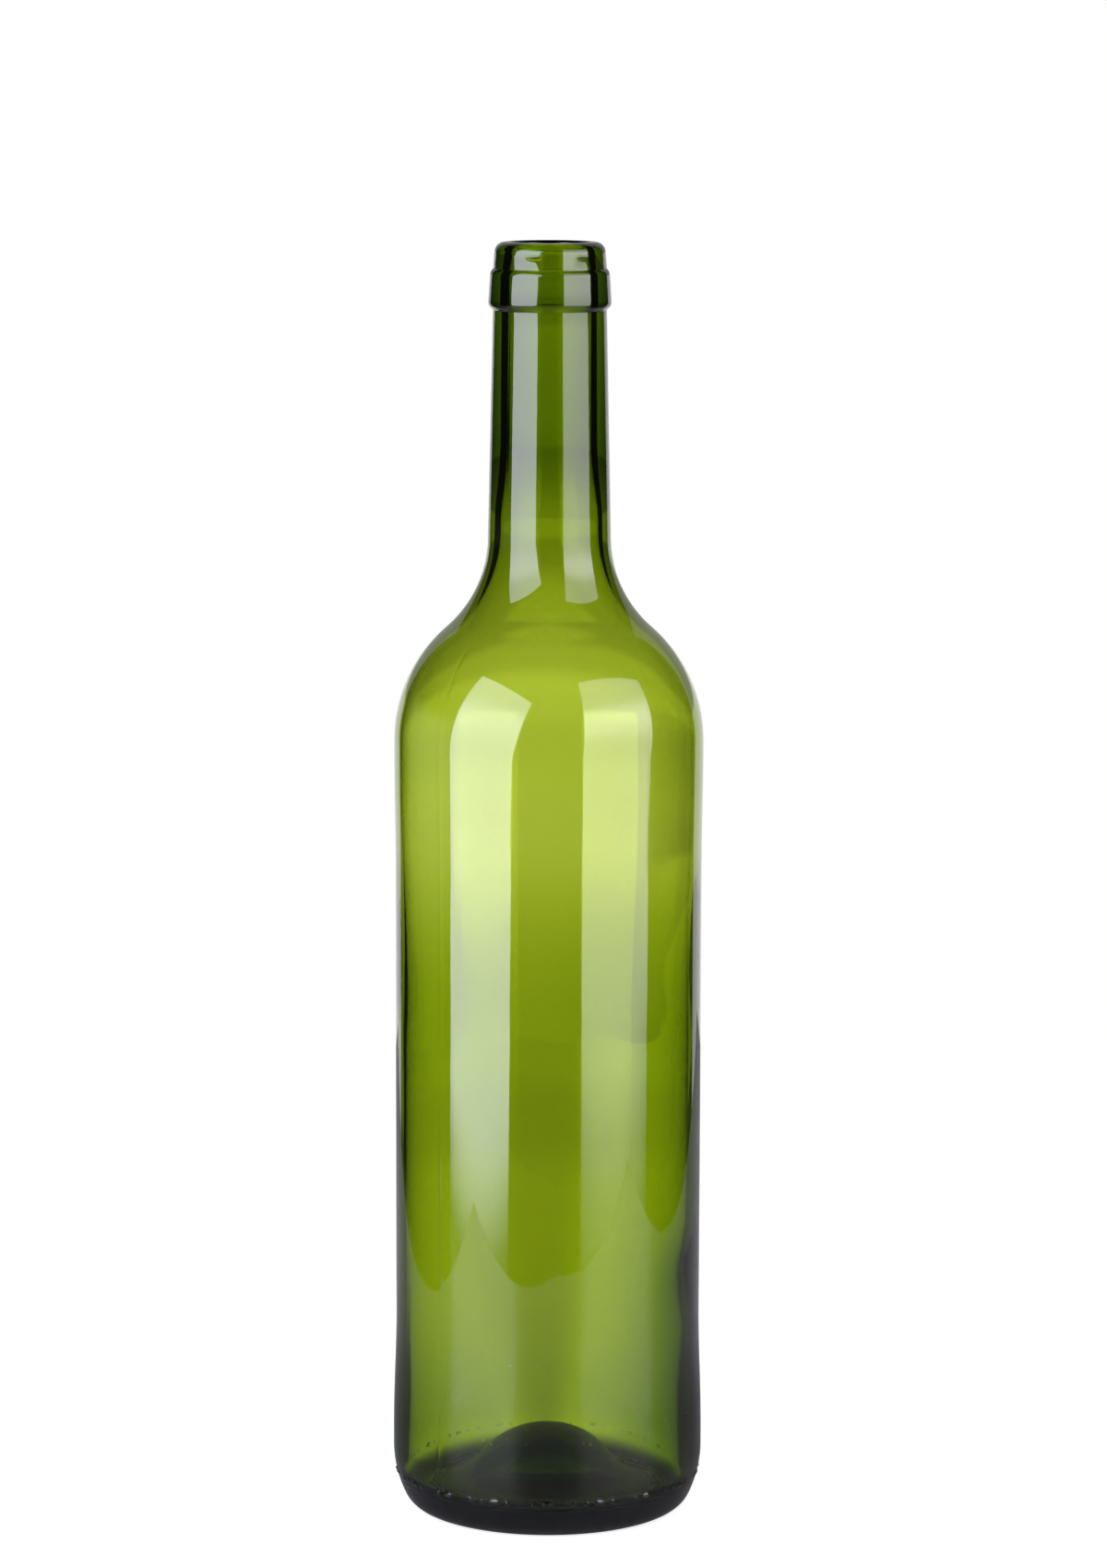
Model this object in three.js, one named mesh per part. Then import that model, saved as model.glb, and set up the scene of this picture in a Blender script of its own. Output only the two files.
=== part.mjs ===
// An empty, open wine bottle with a straight body, a high shoulder and a banded mouth.
// It is one blown piece of green glass: an outer skin from the mould and an inner skin from the air.
// Millimetres, +Z up. The origin is on the bottle's axis, in the plane that it stands on.
import * as THREE from "three";

// Mouth: a plain lip above the ring that carries a capsule's edge
const BOTTLE_HEIGHT = 307;
const LIP_HEIGHT = 5.8;
const LIP_RADIUS = 13.55;
const LIP_TAPER = 0.3;
const LIP_ROUND = 2.6;
const RING_HEIGHT = 10.2;
const RING_RADIUS = 14.7;
const RING_TAPER = 0.4;
const RING_TOP_ROUND = 2.2;
const RING_FOOT_ROUND = 1.7;
const RING_CORNER_ROUND = 0.3;

// Neck: a slow cone that widens downwards
const NECK_TOP_RADIUS = 13.6;
const NECK_TAPER_DEGREES = 1.2;

// Shoulder: a hollow arc under the neck that runs into a full arc over the body
const SHOULDER_HOLLOW_RADIUS = 29;
const SHOULDER_CROWN_RADIUS = 36;
const SHOULDER_BAND_RADIUS = 37.15;
const SHOULDER_BAND_HEIGHT = 188;
const SHOULDER_BAND_LENGTH = 4;
const SHOULDER_FADE_LENGTH = 28;

// Body: the label panel lies a little behind the shoulder band and the heel band
const PANEL_RADIUS = 36.85;
const HEEL_BAND_RADIUS = 37.5;
const HEEL_BAND_LENGTH = 4;
const HEEL_FADE_LENGTH = 29;

// Heel and foot: two arcs come in to a narrow flat ring, with the hollow punt inside it
const HEEL_UPPER_ROUND = 27;
const HEEL_LOWER_ROUND = 6.4;
const HEEL_INSET = 8.5;
const FOOT_RING_WIDTH = 1.8;
const PUNT_DEPTH = 13.6;
const PUNT_FOOT_ROUND = 10;

// Glass thickness: the gob stretches most at the shoulder, so the wall is thinnest there
const NECK_WALL = 3;
const SHOULDER_WALL = 1.8;
const BODY_WALL = 2.75;
const WALL_FADE_HEIGHT = 118;
const WALL_FADE_LENGTH = 56;
const HEEL_FLOOR_THICKNESS = 6.6;
const PUNT_THICKNESS = 5.5;
const INNER_HEEL_ROUND = 5;
const INNER_FLOOR_ROUND = 17;

// Bore: narrowest at the rim, even where the closure sits, then open to the shoulder's own wall
const MOUTH_ROUND = 0.9;
const MOUTH_BORE_RADIUS = 9.25;
const MOUTH_BORE_LENGTH = 1;
const MOUTH_FADE_LENGTH = 7.5;
const CLOSURE_BORE_RADIUS = 9.8;
const CLOSURE_BORE_LENGTH = 38;
const CLOSURE_FADE_LENGTH = 20;

// Facets
const SIDES = 48;
const CHORD_ERROR = 0.1;
const FEWEST_ARC_STEPS = 2;
const FADE_STEPS = 4;

const GLASS_GREEN = 0x6f8a1c;

const radians = THREE.MathUtils.degToRad;
const degrees = THREE.MathUtils.radToDeg;

// Points on an arc in the profile plane, where x is the distance from the axis and y the height.
function arc(centreRadius, centreHeight, arcRadius, fromDegrees, toDegrees) {
  const longestStep = 2 * Math.acos(1 - CHORD_ERROR / arcRadius);
  const turn = radians(Math.abs(toDegrees - fromDegrees));
  const steps = Math.max(FEWEST_ARC_STEPS, Math.ceil(turn / longestStep));
  const points = [];
  for (let step = 0; step <= steps; step += 1) {
    const angle = radians(fromDegrees + ((toDegrees - fromDegrees) * step) / steps);
    const x = centreRadius + arcRadius * Math.cos(angle);
    const y = centreHeight + arcRadius * Math.sin(angle);
    points.push(new THREE.Vector2(x, y));
  }
  return points;
}

// Points on a soft S from one radius to another, level with the wall at both ends.
function fade(fromRadius, fromHeight, toRadius, toHeight) {
  const points = [];
  for (let step = 0; step <= FADE_STEPS; step += 1) {
    const share = step / FADE_STEPS;
    const ease = (1 - Math.cos(Math.PI * share)) / 2;
    const x = fromRadius + (toRadius - fromRadius) * ease;
    const y = fromHeight + (toHeight - fromHeight) * share;
    points.push(new THREE.Vector2(x, y));
  }
  return points;
}

// A floor that stands up in its middle: a dome that runs into a hollow arc, level at its edge.
// It is drawn from the axis out to the edge.
function domedFloor(apexHeight, edgeHeight, edgeRadius, edgeRound) {
  const slope = 2 * Math.atan((apexHeight - edgeHeight) / edgeRadius);
  const domeRadius = edgeRadius / Math.sin(slope) - edgeRound;
  const slopeDegrees = degrees(slope);
  const dome = arc(0, apexHeight - domeRadius, domeRadius, 90, 90 - slopeDegrees);
  const edge = arc(edgeRadius, edgeHeight + edgeRound, edgeRound, 270 - slopeDegrees, 270);
  dome[0].x = 0;
  return [...dome, ...edge.slice(1)];
}

// The two arcs of a shoulder, drawn from the body up to the neck's cone.
// The hollow arc touches the cone, and both arcs share a tangent where they meet.
function shoulder(crownRadius, hollowRadius, bandRadius, neckRadius, neckHeight, taperDegrees) {
  const taper = radians(taperDegrees);
  const crownCentre = new THREE.Vector2(bandRadius - crownRadius, SHOULDER_BAND_HEIGHT);
  // The hollow arc's centre lies on a line beside the cone, one hollow radius out from it.
  const along = new THREE.Vector2(Math.sin(taper), -Math.cos(taper));
  const start = new THREE.Vector2(neckRadius, neckHeight);
  start.x += hollowRadius * Math.cos(taper);
  start.y += hollowRadius * Math.sin(taper);
  const toStart = start.clone().sub(crownCentre);
  const half = toStart.dot(along);
  const gap = toStart.lengthSq() - (crownRadius + hollowRadius) ** 2;
  const distance = -half - Math.sqrt(half * half - gap);
  const hollowCentre = start.addScaledVector(along, distance);
  const join = degrees(hollowCentre.clone().sub(crownCentre).angle());
  const crown = arc(crownCentre.x, crownCentre.y, crownRadius, 0, join);
  const hollow = arc(hollowCentre.x, hollowCentre.y, hollowRadius, 180 + join, 180 + taperDegrees);
  return [...crown, ...hollow.slice(1)];
}

// Outer skin from the punt's middle, out under the foot and up the heel to the label panel
function outerBase() {
  const footOuter = HEEL_BAND_RADIUS - HEEL_INSET;
  const footInner = footOuter - FOOT_RING_WIDTH;
  const lowerRound = Math.min(HEEL_LOWER_ROUND, HEEL_INSET - FOOT_RING_WIDTH);
  const turn = Math.asin((HEEL_UPPER_ROUND - HEEL_INSET) / (HEEL_UPPER_ROUND - lowerRound));
  const turnDegrees = degrees(turn);
  const heelTop = lowerRound + (HEEL_UPPER_ROUND - lowerRound) * Math.cos(turn);
  const lower = arc(footOuter, lowerRound, lowerRound, -90, -90 + turnDegrees);
  const upper = arc(HEEL_BAND_RADIUS - HEEL_UPPER_ROUND, heelTop, HEEL_UPPER_ROUND, -90 + turnDegrees, 0);
  const bandTop = heelTop + HEEL_BAND_LENGTH;
  return [
    ...domedFloor(PUNT_DEPTH, 0, footInner, PUNT_FOOT_ROUND),
    ...lower,
    ...upper.slice(1),
    ...fade(HEEL_BAND_RADIUS, bandTop, PANEL_RADIUS, bandTop + HEEL_FADE_LENGTH),
  ];
}

// Outer skin from the label panel over the shoulder to the top of the neck
function outerShoulder() {
  const bandFoot = SHOULDER_BAND_HEIGHT - SHOULDER_BAND_LENGTH;
  const neckTop = BOTTLE_HEIGHT - LIP_HEIGHT - RING_HEIGHT;
  return [
    ...fade(PANEL_RADIUS, bandFoot - SHOULDER_FADE_LENGTH, SHOULDER_BAND_RADIUS, bandFoot),
    ...shoulder(
      SHOULDER_CROWN_RADIUS,
      SHOULDER_HOLLOW_RADIUS,
      SHOULDER_BAND_RADIUS,
      NECK_TOP_RADIUS,
      neckTop,
      NECK_TAPER_DEGREES,
    ),
  ];
}

// Outer skin of the mouth, from the corner under the ring to the flat rim
function outerMouth() {
  const ringFoot = BOTTLE_HEIGHT - LIP_HEIGHT - RING_HEIGHT;
  const ringTop = ringFoot + RING_HEIGHT;
  const topRoundRadius = RING_RADIUS - RING_TAPER - RING_TOP_ROUND;
  const topRoundHeight = ringTop - RING_TOP_ROUND;
  const cornerRadius = LIP_RADIUS + RING_CORNER_ROUND;
  // The ring's top round and the hollow corner beside it share a tangent where they meet.
  const reach = RING_TOP_ROUND + RING_CORNER_ROUND;
  const join = Math.acos(THREE.MathUtils.clamp((cornerRadius - topRoundRadius) / reach, 0, 1));
  const cornerHeight = topRoundHeight + reach * Math.sin(join);
  const joinDegrees = degrees(join);
  return [
    new THREE.Vector2(NECK_TOP_RADIUS, ringFoot - RING_CORNER_ROUND),
    new THREE.Vector2(NECK_TOP_RADIUS + RING_CORNER_ROUND / 2, ringFoot),
    ...arc(RING_RADIUS - RING_FOOT_ROUND, ringFoot + RING_FOOT_ROUND, RING_FOOT_ROUND, -60, 0),
    ...arc(topRoundRadius, topRoundHeight, RING_TOP_ROUND, 0, joinDegrees),
    ...arc(cornerRadius, cornerHeight, RING_CORNER_ROUND, 180 + joinDegrees, 180).slice(1),
    ...arc(LIP_RADIUS - LIP_TAPER - LIP_ROUND, BOTTLE_HEIGHT - LIP_ROUND, LIP_ROUND, 0, 90),
  ];
}

// Inner skin from the rim down the bore to the top of the body
function innerNeck() {
  const mouthFoot = BOTTLE_HEIGHT - MOUTH_ROUND - MOUTH_BORE_LENGTH;
  const closureTop = mouthFoot - MOUTH_FADE_LENGTH;
  const closureFoot = closureTop - CLOSURE_BORE_LENGTH;
  const wallTop = closureFoot - CLOSURE_FADE_LENGTH;
  const neckTop = BOTTLE_HEIGHT - LIP_HEIGHT - RING_HEIGHT;
  const neckRadius = NECK_TOP_RADIUS + (neckTop - wallTop) * Math.tan(radians(NECK_TAPER_DEGREES));
  const wallRadius = neckRadius - NECK_WALL;
  const walls = shoulder(
    SHOULDER_CROWN_RADIUS - SHOULDER_WALL,
    SHOULDER_HOLLOW_RADIUS + NECK_WALL,
    SHOULDER_BAND_RADIUS - SHOULDER_WALL,
    wallRadius,
    wallTop,
    NECK_TAPER_DEGREES,
  );
  return [
    ...arc(MOUTH_BORE_RADIUS + MOUTH_ROUND, BOTTLE_HEIGHT - MOUTH_ROUND, MOUTH_ROUND, 90, 180),
    ...fade(MOUTH_BORE_RADIUS, mouthFoot, CLOSURE_BORE_RADIUS, closureTop),
    ...fade(CLOSURE_BORE_RADIUS, closureFoot, wallRadius, wallTop),
    ...walls.reverse(),
  ];
}

// Inner skin from the top of the body, down over the thick heel, to the middle of the floor
function innerBase() {
  const shoulderRadius = SHOULDER_BAND_RADIUS - SHOULDER_WALL;
  const wallRadius = PANEL_RADIUS - BODY_WALL;
  const troughRadius = wallRadius - INNER_HEEL_ROUND;
  const troughHeight = HEEL_FLOOR_THICKNESS;
  const floor = domedFloor(PUNT_DEPTH + PUNT_THICKNESS, troughHeight, troughRadius, INNER_FLOOR_ROUND);
  return [
    ...fade(shoulderRadius, WALL_FADE_HEIGHT + WALL_FADE_LENGTH, wallRadius, WALL_FADE_HEIGHT),
    ...arc(troughRadius, troughHeight + INNER_HEEL_ROUND, INNER_HEEL_ROUND, 0, -90),
    ...floor.reverse().slice(1),
  ];
}

// The whole bottle, turned about its axis from one outline that starts and ends on the axis
function glassBottle() {
  const outline = [...outerBase(), ...outerShoulder(), ...outerMouth(), ...innerNeck(), ...innerBase()];
  const geometry = new THREE.LatheGeometry(outline, SIDES);
  geometry.rotateX(Math.PI / 2);
  const glass = new THREE.MeshStandardMaterial({
    color: GLASS_GREEN,
    roughness: 0.05,
    metalness: 0,
    transparent: true,
    opacity: 0.5,
  });
  const bottle = new THREE.Mesh(geometry, glass);
  bottle.name = "glass_bottle";
  return bottle;
}

const wineBottle = new THREE.Group();
wineBottle.add(glassBottle());

export default wineBottle;
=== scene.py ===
"""An empty wine bottle of green glass on a pale table, lit by two softboxes.

Metres, +Z up. The origin is on the bottle's axis, in the plane that it stands on.
"""
import math

import bpy
from mathutils import Matrix, Vector, noise


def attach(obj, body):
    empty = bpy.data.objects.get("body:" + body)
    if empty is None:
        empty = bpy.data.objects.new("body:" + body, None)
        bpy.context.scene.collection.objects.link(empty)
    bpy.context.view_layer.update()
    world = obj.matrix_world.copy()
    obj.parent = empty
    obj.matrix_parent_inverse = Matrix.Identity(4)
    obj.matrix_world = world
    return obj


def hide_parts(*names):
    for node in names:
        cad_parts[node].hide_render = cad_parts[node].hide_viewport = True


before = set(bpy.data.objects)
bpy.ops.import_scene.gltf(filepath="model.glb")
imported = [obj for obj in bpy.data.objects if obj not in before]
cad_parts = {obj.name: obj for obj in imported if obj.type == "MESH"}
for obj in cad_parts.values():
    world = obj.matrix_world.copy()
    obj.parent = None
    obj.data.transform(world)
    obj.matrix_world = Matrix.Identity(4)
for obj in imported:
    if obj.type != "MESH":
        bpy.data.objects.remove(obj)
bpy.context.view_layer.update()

MM = 0.001

# Outline points nearer to each other than this are one point
SAME_POINT = 0.001 * MM

# Mouth: a plain lip above the ring that carries a capsule's edge
BOTTLE_HEIGHT = 307 * MM
LIP_HEIGHT = 5.8 * MM
LIP_RADIUS = 13.55 * MM
LIP_TAPER = 0.3 * MM
LIP_ROUND = 2.6 * MM
RING_HEIGHT = 10.2 * MM
RING_RADIUS = 14.7 * MM
RING_TAPER = 0.4 * MM
RING_TOP_ROUND = 2.2 * MM
RING_FOOT_ROUND = 1.7 * MM
RING_UNDERSIDE_DEGREES = 60
RING_CORNER_ROUND = 0.3 * MM

# Neck: a slow cone that widens downwards
NECK_TOP_RADIUS = 13.6 * MM
NECK_TAPER_DEGREES = 1.2

# Shoulder: a hollow arc under the neck that runs into a full arc over the body
SHOULDER_HOLLOW_RADIUS = 29 * MM
SHOULDER_CROWN_RADIUS = 36 * MM
SHOULDER_BAND_RADIUS = 37.15 * MM
SHOULDER_BAND_HEIGHT = 188 * MM
SHOULDER_BAND_LENGTH = 4 * MM
SHOULDER_FADE_LENGTH = 28 * MM

# Body: the label panel lies a little behind the shoulder band and the heel band
PANEL_RADIUS = 36.85 * MM
HEEL_BAND_RADIUS = 37.5 * MM
HEEL_BAND_LENGTH = 4 * MM
HEEL_FADE_LENGTH = 29 * MM

# Heel and foot: two arcs come in to a narrow flat ring, with the hollow punt inside it
HEEL_UPPER_ROUND = 27 * MM
HEEL_LOWER_ROUND = 6.4 * MM
HEEL_INSET = 8.5 * MM
FOOT_RING_WIDTH = 1.8 * MM
PUNT_DEPTH = 13.6 * MM
PUNT_FOOT_ROUND = 10 * MM

# Glass thickness: the gob stretches most at the shoulder, so the wall is thinnest there
NECK_WALL = 3 * MM
SHOULDER_WALL = 1.8 * MM
BODY_WALL = 2.75 * MM
WALL_FADE_HEIGHT = 118 * MM
WALL_FADE_LENGTH = 56 * MM
HEEL_FLOOR_THICKNESS = 6.6 * MM
PUNT_THICKNESS = 5.5 * MM
INNER_HEEL_ROUND = 5 * MM
INNER_FLOOR_ROUND = 17 * MM

# Bore: narrowest at the rim, even where the closure sits, then open to the shoulder's own wall
MOUTH_ROUND = 0.9 * MM
MOUTH_BORE_RADIUS = 9.25 * MM
MOUTH_BORE_LENGTH = 1 * MM
MOUTH_FADE_LENGTH = 7.5 * MM
CLOSURE_BORE_RADIUS = 9.8 * MM
CLOSURE_BORE_LENGTH = 38 * MM
CLOSURE_FADE_LENGTH = 20 * MM

# Mesh: the outline is cut into short steps, and turned through evenly spaced columns
ARC_STEP = 1 * MM
FEWEST_ARC_STEPS = 8
FADE_STEP = 1.6 * MM
STRAIGHT_STEP = 4.5 * MM
COLUMNS = 192

# Blown inside: it leans, so the wall is thicker on the right, and a thick patch lies low on that side.
# The patch's ripple is a wavelength and a depth.
CAVITY_LEAN = 0.25 * MM
LEAN_TOP = 155 * MM
LEAN_FOOT = 95 * MM
PATCH_DEPTH = 1.1 * MM
PATCH_SHARPNESS = 4
PATCH_TOP = 72 * MM
PATCH_FOOT = 56 * MM
PATCH_RIPPLE = (22 * MM, 0.9 * MM)

# Mould seams: two low ridges, opposite each other, from the heel to the ring, and lower above the heel
SEAM_DEGREES = -134
SEAM_HEIGHT = 0.045 * MM
SEAM_UPPER_HEIGHT = 0.012 * MM
SEAM_FADE_FOOT = 80 * MM
SEAM_FADE_TOP = 110 * MM
SEAM_HALF_WIDTH = 0.35 * MM
SEAM_COLUMN_SHARES = (-1, -0.5, 0.5, 1)
SEAM_FOOT = 4 * MM
SEAM_TOP = 300 * MM

# Lip line: a fine broken ridge around the lip, where two parts of the mouth's mould meet
LIP_LINE_DEPTH = 3.1 * MM
LIP_LINE_RISE = 0.2 * MM
LIP_LINE_HALF_WIDTH = 0.2 * MM
LIP_LINE_WAVE = 5 * MM
LIP_LINE_BREAKS = (-0.05, 0.2)

# Heel marks: a ring of small raised dots and dashes in a plain repeating order, in a band of finer mesh
MARKS = 72
MARK_PATTERN = ("dot", "dot", "dash", "dot", "gap", "dot", "dash", "gap")
MARK_HEIGHT = 9.4 * MM
MARK_RISE = 0.3 * MM
MARK_RADIUS = 0.42 * MM
DASH_HALF_LENGTH = 0.6 * MM
MARK_BAND_FOOT = 8.6 * MM
MARK_BAND_TOP = 10.2 * MM
MARK_BAND_STEP = 0.2 * MM
MARK_BAND_DIVISIONS = 4
MARK_TOPS = "mark_tops"

# Unevenness of the skins: wavelength and depth of each ripple
OUTER_RIPPLES = ((14 * MM, 0.02 * MM),)
INNER_RIPPLES = ((46 * MM, 0.14 * MM), (13 * MM, 0.02 * MM))
RIPPLE_FREE_ENDS = 12 * MM

# Skin of the glass: faint upright cords, a fine peel, and places that are worn
CORD_SCALE = (260, 260, 9)
CORD_DETAIL = 2
CORD_PALE = (1, 1, 1)
CORD_DEEP = (0.97, 0.985, 0.95)
PEEL_SCALE = 330
PEEL_DETAIL = 1
PEEL_DEPTH = 0.002 * MM
FOOT_WEAR_HEIGHT = 0.9 * MM
RUB_FOOT = 18 * MM
RUB_MIDDLE = 25 * MM
RUB_TOP = 34 * MM
RUB_SCALE = 900
RUB_DETAIL = 4
RUB_SPECKS = (0.66, 0.76)
WORN_ROUGHNESS = 0.35

# Glass: how much it bends light, and the colour that its depth takes out of light
GLASS_IOR = 1.52
ABSORPTION_DENSITY = 1000
ABSORPTION_COLOR = (0.697, 0.76, 0.0)

# Camera: distance from the bottle's axis, height, tilt down, and small turn and roll
CAMERA_DISTANCE = 1.288
CAMERA_HEIGHT = 0.356
CAMERA_TILT_DEGREES = 7.90
CAMERA_TURN_DEGREES = -0.05
CAMERA_ROLL_DEGREES = 0.143
SENSOR_MM = 36
LENS_MM = 124.3

# Table: its edges show in the glass. The front edge is bowed and its two corners stick out, as (x, y).
TABLE_LEFT = -0.272
TABLE_RIGHT = 0.352
TABLE_FRONT = (0.03, -0.318)
TABLE_LEFT_CORNER = (-0.337, -0.233)
TABLE_RIGHT_CORNER = (0.408, -0.234)
TABLE_BACK = 0.60
TABLE_ALBEDO = 0.45
TABLE_ROUGHNESS = 0.4
TABLE_SHEEN = 0.42
TABLE_CAMERA_GLOW = 0.74
# Painted light: the table's glow to rays bent by the glass, in place of its lit colour
TABLE_THROUGH_LEVEL = 1.1

# Painted shade on the table as the glass shows it: black right under the bottle, dim around it, dark on
# both sides behind it, and with a faint darker ring further out
UNDER_RADII = (0.032, 0.052)
DIM_SHARE = 0.4
DIM_RADII = (0.24, 0.12)
SIDE_SLOPE = 0.375
SIDE_LEAN = 0.075
SIDE_EDGE = (0.036, 0.046)
SIDE_RADII = (0.3, 0.1)
LEFT_MIRROR_SHADE = 0.5
DIP_RADII = (0.38, 0.45, 0.5, 0.57)
DIP_SHARE = 0.12

# Softboxes: turn to the left of the camera, tilt up, roll, shift across and up, width, height,
# radiance, extra radiance in the hot middle as a share, heights where the foot dims, and colour
SOFTBOX_DISTANCE = 1.2
SOFTBOX_AIM_HEIGHT = 0.15
LEFT_SOFTBOX = dict(
    turn=48.8,
    tilt=11.6,
    roll=10.9,
    across=-0.017,
    up=0.002,
    width=1.162,
    height=1.604,
    radiance=7.8,
    hot=0.15,
    foot=(-0.15, -0.245),
    colour=(0.82, 0.82, 0.98),
)
RIGHT_SOFTBOX = dict(
    turn=-46.2,
    tilt=10.5,
    roll=8.2,
    across=0.227,
    up=0.068,
    width=1.306,
    height=1.836,
    radiance=4.5,
    hot=0.6,
    foot=(-0.07, -0.27),
    colour=(0.96, 0.9, 1),
)

# Both softboxes: heights of the hot middle, and how far foot and head are dimmed. As an echo inside the
# glass, each shows less above a low height.
HOT_FOOT = 0.17
HOT_MIDDLE = 0.57
HOT_TOP = 0.97
DIM_FOOT_SHARE = 0.95
DIM_HEAD_HEIGHTS = (0.6, 0.95)
DIM_HEAD_SHARE = 0.3
ECHO_DIM_HEIGHTS = (-0.06, 0.06)
ECHO_DIM_SHARE = 0.5

# Room seen through the glass: brightness of a ray by how far it points below the horizon. Each pair of
# angles is where one brightness starts to give way to the next, and where it has.
ROOM_BELOW = 1.2
ROOM_BAND = 1.45
ROOM_MIDDLE = 1.17
ROOM_ABOVE = 0.9
BAND_FOOT_DEGREES = (-8.2, -6.2)
BAND_TOP_DEGREES = (-5.9, -4.9)
MIDDLE_TOP_DEGREES = (-4.2, -3.2)

# It is brighter to the left of the bottle. To the right, it is darker between a brighter head and foot.
LEFT_GAIN = 0.42
LEFT_GAIN_DEGREES = (-0.5, -9)
LEFT_FADE_DEGREES = (-4.5, -8.5)
RIGHT_TOP_GAIN = 0.2
RIGHT_UPPER_GAIN = -0.26
RIGHT_GAIN = 0.12
TABLE_RIGHT_GAIN = 0.5
RIGHT_GAIN_DEGREES = (0.5, 6)
RIGHT_TOP_DEGREES = (-6.5, -4.9)
RIGHT_FADE_DEGREES = (-9.8, -11.2)

# Room mirrored by the glass: a white backdrop behind the bottle, dimmer higher up, and dark elsewhere
ROOM_AMBIENT = 0.2
ROOM_DARK = 0.02
BACKDROP_LEVEL = 1.0
BACKDROP_HALF_DEGREES = 37
BACKDROP_CENTRE_DEGREES = 4
BACKDROP_TOP_DEGREES = 55
BACKDROP_UPPER_LEVEL = 0.45
BACKDROP_DIM_DEGREES = (0.5, 2)
EDGE_SOFTNESS_DEGREES = 3

# White card that stands close on the left and shows only as a pale reflection on the body. It fades in
# from the first to the second depth or height, and out from the third to the fourth.
CARD_X = -0.15
CARD_DEPTHS = (-0.075, -0.045, -0.03, 0.12)
CARD_HEIGHTS = (0.105, 0.175, 0.21, 0.235)
CARD_LEVEL = 0.66

# Rays: a ray's count of bounces is over ANY_BOUNCE once it has one. The others limit that count.
ANY_BOUNCE = 0.5
MOST_BOUNCES = 24
MOST_MIRRORED = 16

WHITE = (1, 1, 1)
BLACK = (0, 0, 0)


def arc(centre_radius, centre_height, arc_radius, from_degrees, to_degrees):
    """Points on an arc of the outline, as (distance from the axis, height)."""
    turn = math.radians(to_degrees - from_degrees)
    steps = max(FEWEST_ARC_STEPS, math.ceil(abs(turn) * arc_radius / ARC_STEP))
    angles = [math.radians(from_degrees) + turn * step / steps for step in range(steps + 1)]
    return [
        (centre_radius + arc_radius * math.cos(angle), centre_height + arc_radius * math.sin(angle))
        for angle in angles
    ]


def fade(from_radius, from_height, to_radius, to_height):
    """Points on a soft S from one radius to another, level with the wall at both ends."""
    steps = math.ceil(abs(to_height - from_height) / FADE_STEP)
    points = []
    for step in range(steps + 1):
        share = step / steps
        ease = (1 - math.cos(math.pi * share)) / 2
        radius = from_radius + (to_radius - from_radius) * ease
        points.append((radius, from_height + (to_height - from_height) * share))
    return points


def domed_floor(apex_height, edge_height, edge_radius, edge_round):
    """A floor that stands up in its middle, drawn from the axis out to its level edge."""
    slope = 2 * math.atan((apex_height - edge_height) / edge_radius)
    dome_radius = edge_radius / math.sin(slope) - edge_round
    slope_degrees = math.degrees(slope)
    dome = arc(0, apex_height - dome_radius, dome_radius, 90, 90 - slope_degrees)
    edge = arc(edge_radius, edge_height + edge_round, edge_round, 270 - slope_degrees, 270)
    dome[0] = (0, apex_height)
    return dome + edge


def shoulder(crown_radius, hollow_radius, band_radius, neck_radius, neck_height):
    """The crown arc and the hollow arc of a shoulder, drawn from the body up to the neck's cone."""
    taper = math.radians(NECK_TAPER_DEGREES)
    crown_centre = Vector((band_radius - crown_radius, SHOULDER_BAND_HEIGHT))
    # The hollow arc's centre lies on a line beside the cone, one hollow radius out from it.
    along = Vector((math.sin(taper), -math.cos(taper)))
    start = Vector((neck_radius, neck_height)) + hollow_radius * Vector((math.cos(taper), math.sin(taper)))
    to_start = start - crown_centre
    half = to_start.dot(along)
    gap = to_start.length_squared - (crown_radius + hollow_radius) ** 2
    hollow_centre = start + along * (-half - math.sqrt(half * half - gap))
    between = hollow_centre - crown_centre
    join = math.degrees(math.atan2(between.y, between.x))
    crown = arc(*crown_centre, crown_radius, 0, join)
    hollow = arc(*hollow_centre, hollow_radius, 180 + join, 180 + NECK_TAPER_DEGREES)
    return crown + hollow


def outer_base():
    """Outer skin from the punt's middle, out under the foot and up the heel to the label panel."""
    foot_outer = HEEL_BAND_RADIUS - HEEL_INSET
    foot_inner = foot_outer - FOOT_RING_WIDTH
    turn = math.asin((HEEL_UPPER_ROUND - HEEL_INSET) / (HEEL_UPPER_ROUND - HEEL_LOWER_ROUND))
    turn_degrees = math.degrees(turn)
    heel_top = HEEL_LOWER_ROUND + (HEEL_UPPER_ROUND - HEEL_LOWER_ROUND) * math.cos(turn)
    band_top = heel_top + HEEL_BAND_LENGTH
    return [
        *domed_floor(PUNT_DEPTH, 0, foot_inner, PUNT_FOOT_ROUND),
        *arc(foot_outer, HEEL_LOWER_ROUND, HEEL_LOWER_ROUND, -90, -90 + turn_degrees),
        *arc(HEEL_BAND_RADIUS - HEEL_UPPER_ROUND, heel_top, HEEL_UPPER_ROUND, -90 + turn_degrees, 0),
        *fade(HEEL_BAND_RADIUS, band_top, PANEL_RADIUS, band_top + HEEL_FADE_LENGTH),
    ]


def outer_shoulder():
    """Outer skin from the label panel over the shoulder to the top of the neck."""
    band_foot = SHOULDER_BAND_HEIGHT - SHOULDER_BAND_LENGTH
    neck_top = BOTTLE_HEIGHT - LIP_HEIGHT - RING_HEIGHT
    return [
        *fade(PANEL_RADIUS, band_foot - SHOULDER_FADE_LENGTH, SHOULDER_BAND_RADIUS, band_foot),
        *shoulder(
            SHOULDER_CROWN_RADIUS, SHOULDER_HOLLOW_RADIUS, SHOULDER_BAND_RADIUS, NECK_TOP_RADIUS, neck_top
        ),
    ]


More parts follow.
